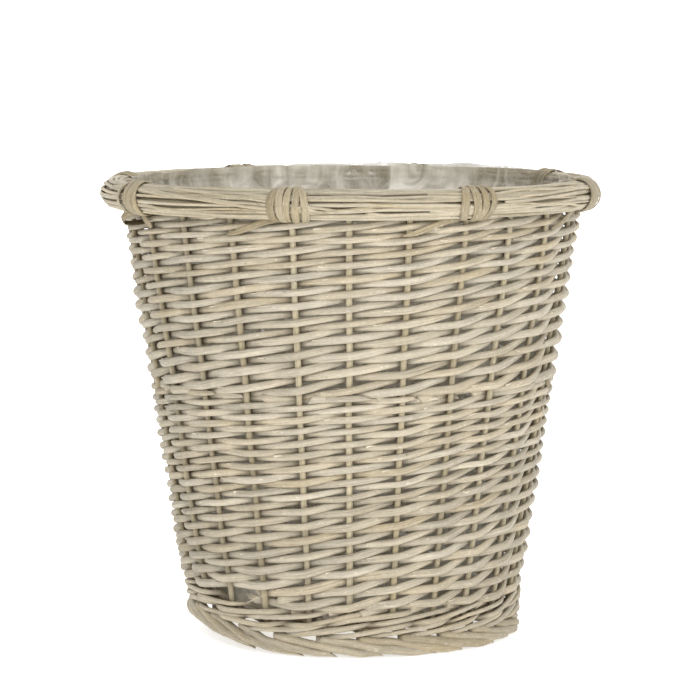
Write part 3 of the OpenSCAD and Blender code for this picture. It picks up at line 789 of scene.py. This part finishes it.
# ------------------------------------------------------------------ skein bindings
for i in range(8):
    rng = np.random.default_rng(11000 + i)
    b = Bunch()
    stake = 2 + 3 * i
    a0 = float(stake_ang(stake)) + math.radians({23: 0.75, 20: 2.2}.get(stake, 0.0))
    turns = 5 if i % 3 else 4
    sec = np.linspace(0, TAU, 73)[:-1]
    # how far each turn sits from the middle, in mm, at the widest and at the narrowest place
    wide = 38.0 if turns == 5 else 34.0
    place = np.linspace(-1, 1, turns) + rng.normal(0, 0.06, turns)
    for k in range(turns):
        mid = np.maximum(np.cos(sec + 0.15), 0) ** 0.7
        half_mid, half_end = (wide - 7.0) / 2, (wide * 0.64 - 5.5) / 2
        x = place[k] * (half_end + (half_mid - half_end) * mid)
        x = x + rng.normal(0, 1.0) * np.sin(sec) + rng.normal(0, 0.8) * np.cos(sec) + rng.normal(0, 0.5) * np.sin(2 * sec)
        an = a0 + x / (RIM_R + BUNDLE_R * 0.5)
        rho = BUNDLE_R + 0.5 + 0.8 * (k % 2) * (1 - mid) + 0.5 * mid * abs(place[k]) + rng.uniform(0, 0.5) * (1 + np.cos(2 * sec + rng.uniform(0, 6)))
        p = around(an, rho, sec)
        tilt = rng.normal(0, 0.10) + 0.16 * place[k] * mid
        out = away(an, sec) + np.stack([-np.sin(an), np.cos(an), 0 * an], -1) * tilt[:, None]
        width = (7.0 + 0.7 * rng.normal()) * (1 - 0.16 * (1 - mid)) * (1 + 0.06 * np.sin(sec * 2 + k))
        b.ribbon(p, out, width, rng.uniform(0.85, 1.15), closed=True, tone=rng.normal(0.15, 0.6), tint=rng.uniform(0.1, 0.9), seed=i * 7 + k + 0.7)
    # tail: from under the bundle down to the left over the top rows
    n = 30
    t = np.linspace(0, 1, n)
    length = rng.uniform(50, 62)
    an = a0 - math.radians(0.6) - (length / 205.0) * t
    zt = UP_TOP + 2.5 - 15.5 * ease(t * 0.93) + 1.0 * np.sin(t * 3.0)
    rr = stake_rc(np.minimum(zt, 383)) + 7.0 + 1.0 * ease(t * 3) - 5.0 * ease((0.2 - t) / 0.2) - 1.6 * ease((t - 0.7) / 0.3)
    p = cyl(rr, an, zt)
    width = np.interp(t, [0, 0.2, 0.8, 1], [5.0, 5.8, 5.0, 1.6])
    b.ribbon(p, radial(an), width, 0.9, tone=rng.normal(0.1, 0.5), tint=rng.uniform(0.3, 0.9), seed=i + 60.7)
    if stake == 20:
        # the left binding's loose turn makes an ear below the bundle, and one strand runs on down to the right
        key = np.array([(-172, -104, 390.0), (-180, -106, 389.6), (-188, -106, 388.4), (-194.5, -104, 386.0), (-198.5, -100.5, 382.5), (-199.5, -96.5, 379.5),
                        (-197.0, -94.0, 377.6), (-191, -93.5, 377.2), (-184, -95, 378.2), (-177, -98, 380.0)])
        q = np.linspace(0, len(key) - 1, 46)
        ear = np.stack([np.interp(q, np.arange(len(key)), key[:, k_]) for k_ in range(3)], -1)
        kern = np.array([1, 2, 3, 2, 1]) / 9
        for k_ in range(3):
            ear[2:-2, k_] = np.convolve(ear[:, k_], kern, "valid")
        face = np.stack([np.interp(q, [0, 3, 5, 9], v) for v in ((-0.25, -0.35, -0.9, 0.25), (-0.95, -0.9, -0.1, 0.75), (0.15, 0.1, -0.4, -0.6))], -1)
        # painted shade on the ear's lower part, which turns back under the front part
        b.ribbon(ear, face, np.interp(q, [0, 3, 5, 9], [5.0, 5.6, 6.6, 6.0]), 0.9, tone=-1.2, tint=0.4, seed=70.7, deep=np.interp(q, [0, 4, 5.5, 9], [0, 0.1, 1, 1]))
        t = np.linspace(0, 1, 40)
        an = a0 - math.radians(2.4) + 0.085 * t
        zt = UP_TOP + 6.0 - 17.0 * t
        rr = stake_rc(np.minimum(zt, 383)) + 6.8 + 1.6 * np.sin(t * 3)
        b.ribbon(cyl(rr, an, zt), radial(an), np.interp(t, [0, 0.8, 1], [6.2, 5.6, 3.0]), 0.9, tone=-0.6, tint=0.4, seed=71.7)
    b.build(f"rim_binding_{i + 1}_skein", M_SKEIN, "willow_skein", [f"rim_binding_{i + 1}"], segment=120)

# ------------------------------------------------------------------ base: two groups of sticks and the weave
ZB = BASE_Z


def base_stick(bunch, k, turn, flat, r, seed):
    """One stick of the base cross, its ends opened out."""
    spoke = math.radians(30)
    x0 = 15.2
    y0 = x0 * math.tan(spoke) * k
    R = BASE_R - 1
    L = [(-R, 0), (-x0 / math.cos(spoke) if k else -x0, 0)]
    an = spoke * k
    left = [(-R * math.cos(an), -R * math.sin(-an))]
    n = 24
    q = []
    for f in np.linspace(0, 1, n):
        d = R + (x0 / math.cos(an) - R) * f
        q.append((-d * math.cos(an), d * math.sin(an)))
    for f in np.linspace(0, 1, 10)[1:-1]:
        q.append((-x0 + 2 * x0 * f, y0))
    for f in np.linspace(0, 1, n):
        d = x0 / math.cos(an) + (R - x0 / math.cos(an)) * f
        q.append((d * math.cos(an), d * math.sin(an)))
    q = np.array(q)
    ct, st = math.cos(turn), math.sin(turn)
    p = np.stack([q[:, 0] * ct - q[:, 1] * st, q[:, 0] * st + q[:, 1] * ct, np.full(len(q), ZB)], 1)
    mid = np.abs(q[:, 0]) < 14.5
    rz = np.where(mid, flat, r)
    rng = np.random.default_rng(int(seed))
    bunch.rod(p, (0, 0, 1), rz, np.full(len(q), r), m=12, tone=rng.normal(0, 0.5), tint=rng.uniform(0.2, 0.9), seed=seed, rng=rng)


M_STICK = willow("willow_stick", rgb("c2ae84"), rgb("a98f60"), rgb("9c937e"), rgb("3f301b"))
b = Bunch()
for k in (-1, 0, 1):
    rng = np.random.default_rng(1200 + k)
    # slit stick: two halves pass over and under the threaded ones
    for sgn in (-1, 1):
        spoke = math.radians(30)
        x0 = 15.2
        an = spoke * k
        y0 = x0 * math.tan(spoke) * k
        R = BASE_R - 1
        q = [(-(R + (x0 / math.cos(an) - R) * f) * math.cos(an), (R + (x0 / math.cos(an) - R) * f) * math.sin(an)) for f in np.linspace(0, 1, 24)]
        q = [(x, -y) for x, y in q]
        q = [(x, y0) if abs(x) <= x0 else (x, math.tan(an) * abs(x)) for x, _ in q]
        q += [(-x0 + 2 * x0 * f, y0) for f in np.linspace(0, 1, 12)[1:-1]]
        q += [((x0 / math.cos(an) + (R - x0 / math.cos(an)) * f) * math.cos(an), (x0 / math.cos(an) + (R - x0 / math.cos(an)) * f) * math.sin(an)) for f in np.linspace(0, 1, 24)]
        q = np.array(q)
        th = math.radians(7.5)
        p = np.stack([q[:, 0] * math.cos(th) - q[:, 1] * math.sin(th), q[:, 0] * math.sin(th) + q[:, 1] * math.cos(th), np.zeros(len(q))], 1)
        open_ = ease((19 - np.abs(q[:, 0])) / 5)
        p[:, 2] = ZB + sgn * (1.9 + 1.9 * open_)
        b.rod(p, (0, 0, 1), np.full(len(q), 2.15), np.full(len(q), 3.9), m=10, tone=rng.normal(0, 0.4), tint=rng.uniform(0.3, 0.9), seed=k + 20.4 + 5 * sgn, rng=rng)
b.build("base_sticks_slit_rods", M_STICK, "willow_sticks", ["base_sticks_slit"])
b = Bunch()
for k in (-1, 0, 1):
    rng = np.random.default_rng(1300 + k)
    spoke = math.radians(30)
    x0 = 15.2
    an = spoke * k
    y0 = x0 * math.tan(spoke) * k
    R = BASE_R - 1
    xs = np.concatenate([-np.linspace(R, x0 / math.cos(an), 24) * math.cos(an), np.linspace(-x0, x0, 12)[1:-1], np.linspace(x0 / math.cos(an), R, 24) * math.cos(an)])
    q = np.array([(x, y0 if abs(x) <= x0 else math.tan(an) * abs(x)) for x in xs])
    th = math.radians(97.5)
    p = np.stack([q[:, 0] * math.cos(th) - q[:, 1] * math.sin(th), q[:, 0] * math.sin(th) + q[:, 1] * math.cos(th), np.full(len(q), ZB)], 1)
    flat = 4.0 - 2.0 * ease((20 - np.abs(q[:, 0])) / 5)
    b.rod(p, (0, 0, 1), flat, np.full(len(q), 4.0), m=12, tone=rng.normal(0, 0.4), tint=rng.uniform(0.3, 0.9), seed=k + 31.4, rng=rng)
b.build("base_sticks_threaded_rods", M_STICK, "willow_sticks", ["base_sticks_threaded"])

b = Bunch()
for w in range(2):
    rng = np.random.default_rng(1400 + w)
    rounds = 10.5
    u = np.linspace(0, rounds * 12, int(rounds * 12 * 8))
    an = math.radians(7.5) + (u + w * 6) * TAU / 12
    r0 = 23.0 + (BASE_R - 27.0) * (u / (rounds * 12)) + (w - 0.5) * 5.0
    side = np.cos(math.pi * (u + w * 6) + (math.pi if w else 0)) * np.where(True, 1, 1)
    rr = np.interp(u, [0, rounds * 12], [2.1, 2.9]) * (1 + smooth_noise(len(u), 60, rng, 0.04))
    # the weaver passes over and under the spokes in turn, with no step between rounds
    amp = 3.3
    z = ZB + amp * side
    p = cyl(r0, an, z)
    # a slight even painted shade over all of the base weave
    b.rod(p, (0, 0, 1), rr * 0.9, rr, m=8, tone=rng.normal(0, 0.4), tint=rng.uniform(0.3, 0.8), deep=np.full(len(u), 0.25), seed=w + 40.9, rng=rng)
b.build("base_weave_rods", M_BASE, "willow_base", ["base_weave"])

# ------------------------------------------------------------------ film liner
nu, nz = 560, 84
low_n = 56
prof_z = np.concatenate([np.linspace(ZB + 7.0, UP_TOP, low_n), np.linspace(UP_TOP, LINER_TOP, nz - low_n + 1)[1:]])
ang = np.linspace(0, TAU, nu, endpoint=False)
phi = np.degrees(np.arctan2(np.cos(ang), -np.sin(ang)))       # 0 in front, positive to the right
TOP = np.interp(phi, [-180, -151, -130, -110, -90, -60, -20, 0, 30, 55, 66, 78, 95, 115, 130, 145, 160, 172, 180],
                [415.0, 414.5, 413.5, 412.6, 411.8, 409.0, 407.5, 407.0, 408.0, 410.4, 412.8, 412.6, 412.8, 413.5, 415.5, 417.4, 416.8, 417.2, 415.0])
r_in_top = RIM_R - 13.9


def liner_r(z):
    lo = wall_r(z) - 18.9
    return np.where(z < UP_TOP, lo, wall_r(UP_TOP) - 18.9 + (r_in_top - wall_r(UP_TOP) + 18.9) * ease((z - UP_TOP) / 17.0))


def crease(seed, na, nb, a, h):
    """Sharp folds: the distance from zero of a smooth field."""
    f = field2(seed, na, nb)(a, h)
    return np.abs(f)


A, H = np.meshgrid(ang, np.linspace(0, 1, nz))
dr = 1.7 * crease(1, 26, 4, A + 0.5 * H, H) + 1.2 * crease(2, 61, 7, A - 0.4 * H, H) + 0.55 * crease(3, 120, 16, A, H) + 0.25 * crease(4, 230, 30, A, H)
dr = dr + 0.8 * np.maximum(0, field2(5, 38, 2)(A + 0.1 * H, H))
for i in range(8):
    # it is pushed in where a binding comes round the rim
    away_ = np.degrees(np.mod(A - float(stake_ang(2 + 3 * i)) + math.pi, TAU) - math.pi)
    dr = dr + 2.6 * np.exp(-(away_ / 5.5) ** 2) * ease((H - 0.63) / 0.06)
dz_top = 0.7 * field2(6, 60, 2)(ang, 0 * ang) + 0.35 * field2(7, 150, 2)(ang, 0 * ang)
rows = []
for k in range(nz):
    f = max(0.0, (prof_z[k] - UP_TOP) / (LINER_TOP - UP_TOP))
    z = prof_z[k] + f * (TOP + dz_top - LINER_TOP)
    r = liner_r(z) - dr[k] * (1.0 if prof_z[k] < UP_TOP else 1.0 - 0.45 * f)
    rows.append(cyl(r, ang, z))
V = np.concatenate(rows)
faces = []
for k in range(nz - 1):
    for i in range(nu):
        i2 = (i + 1) % nu
        faces.append((k * nu + i, k * nu + i2, (k + 1) * nu + i2, (k + 1) * nu + i))
rings = 22
prev = list(range(nu))
rb = V[:nu].copy()
floor_up = field2(8, 23, 6)
for q in range(1, rings):
    f = 1 - q / rings
    z = ZB + 6.6 + 1.2 * np.abs(floor_up(ang, np.full(nu, q / rings))) * np.sin(math.pi * q / rings) ** 0.5
    p = np.stack([rb[:, 0] * f, rb[:, 1] * f, z], 1)
    start = len(V)
    V = np.concatenate([V, p])
    for i in range(nu):
        i2 = (i + 1) % nu
        faces.append((start + i, start + i2, prev[i2], prev[i]))
    prev = [start + i for i in range(nu)]
V = np.concatenate([V, [[0, 0, ZB + 6.8]]])
for i in range(nu):
    faces.append((len(V) - 1, prev[(i + 1) % nu], prev[i]))
V = settle(V)
me = bpy.data.meshes.new("film_liner_sheet")
me.from_pydata((V * MM).tolist(), [], faces)
me.polygons.foreach_set("use_smooth", [True] * len(me.polygons))
# how clouded the film is: it changes from fold to fold, and some of its darker zones are painted fold shade
vphi = np.degrees(np.arctan2(V[:, 0], -V[:, 1]))
milk_and_shade = np.interp(vphi, [-180, -176, -175.5, -150, -141, -125, -112, -90, -40, 0, 60, 95, 112, 128, 140, 150, 164.8, 165.2, 168.6, 169.0, 180],
                 [0.60, 0.55, 0.5, 0.62, 0.66, 0.42, 0.35, 0.3, 0.5, 0.5, 0.5, 0.30, 0.22, 0.26, 0.5, 0.62, 0.66, 0.72, 0.74, 0.30, 0.48])
milk_and_shade = milk_and_shade + 0.10 * field2(9, 70, 3)(vphi * math.pi / 180, np.clip(V[:, 2] / 420, 0, 1))
at = me.attributes.new("milk_and_shade", "FLOAT", "POINT")
at.data.foreach_set("value", milk_and_shade.astype(np.float32))
me.update()
liner = bpy.data.objects.new("film_liner_sheet", me)
bpy.context.scene.collection.objects.link(liner)
me.materials.append(M_FILM)
sol = liner.modifiers.new("film", "SOLIDIFY")
sol.thickness = 0.00015
sol.offset = 0
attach(liner, "root")
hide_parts("film_liner")

# ------------------------------------------------------------------ stage, light, camera
bpy.ops.mesh.primitive_plane_add(size=30, location=(0, 0, 0))
floor = bpy.context.object
floor.name = "stage_floor"
fm = bpy.data.materials.new("stage_white")
fm.use_nodes = True
fb_ = fm.node_tree.nodes["Principled BSDF"]
fb_.inputs["Base Color"].default_value = (0.90, 0.90, 0.90, 1)
fb_.inputs["Emission Color"].default_value = (1, 1, 1, 1)
fb_.inputs["Emission Strength"].default_value = 0.62
fb_.inputs["Roughness"].default_value = 0.9
fb_.inputs["Specular IOR Level"].default_value = 0.1
floor.data.materials.append(fm)

bpy.ops.mesh.primitive_plane_add(size=1, location=(0, 6.0, 2.0), rotation=(math.pi / 2, 0, 0))
back = bpy.context.object
back.name = "stage_back"
back.scale = (16, 6, 1)
bm_ = bpy.data.materials.new("stage_back_white")
bm_.use_nodes = True
bb = bm_.node_tree.nodes["Principled BSDF"]
bb.inputs["Base Color"].default_value = (0.9, 0.9, 0.9, 1)
bb.inputs["Emission Color"].default_value = (1, 1, 1, 1)
bb.inputs["Emission Strength"].default_value = 0.9
back.data.materials.append(bm_)

world = bpy.data.worlds.new("studio")
bpy.context.scene.world = world
world.use_nodes = True
world.node_tree.nodes["Background"].inputs["Color"].default_value = (1, 1, 1, 1)
world.node_tree.nodes["Background"].inputs["Strength"].default_value = 0.585


def area(name, loc, target, size, power, color=(1, 1, 1)):
    ld = bpy.data.lights.new(name, "AREA")
    ld.shape = "RECTANGLE"
    ld.size, ld.size_y = size
    ld.energy = power
    ld.color = color
    o = bpy.data.objects.new(name, ld)
    o.location = loc
    from mathutils import Vector
    d = Vector(target) - Vector(loc)
    o.rotation_mode = "QUATERNION"
    o.rotation_quaternion = d.to_track_quat("-Z", "Y")
    bpy.context.scene.collection.objects.link(o)
    return o


area("key", (-0.35, -3.0, 1.75), (0, 0, 0.2), (0.6, 0.6), 32, (1, 0.99, 0.975))
area("front", (0.3, -3.5, 1.0), (0, 0, 0.2), (1.4, 1.0), 10)
area("fill", (2.4, -1.6, 0.9), (0, 0, 0.2), (1.4, 1.4), 13)
area("fill_left", (-2.4, -1.6, 0.9), (0, 0, 0.2), (1.4, 1.4), 2)
area("top", (0, 0.4, 2.4), (0, 0, 0.2), (1.8, 1.8), 12)

cam_d = bpy.data.cameras.new("camera")
cam = bpy.data.objects.new("camera", cam_d)
bpy.context.scene.collection.objects.link(cam)
cam.location = (0, -3.070, 0.571)
cam.rotation_euler = (math.radians(90 - 5.88), 0, 0)
cam_d.sensor_width = 36
cam_d.lens = 3400 / 700 * 36
cam_d.clip_start, cam_d.clip_end = 0.1, 100
cam_d.shift_x = -0.5 / 700
cam_d.shift_y = 0.8 / 700
bpy.context.scene.camera = cam
bpy.context.scene.view_settings.view_transform = "Standard"
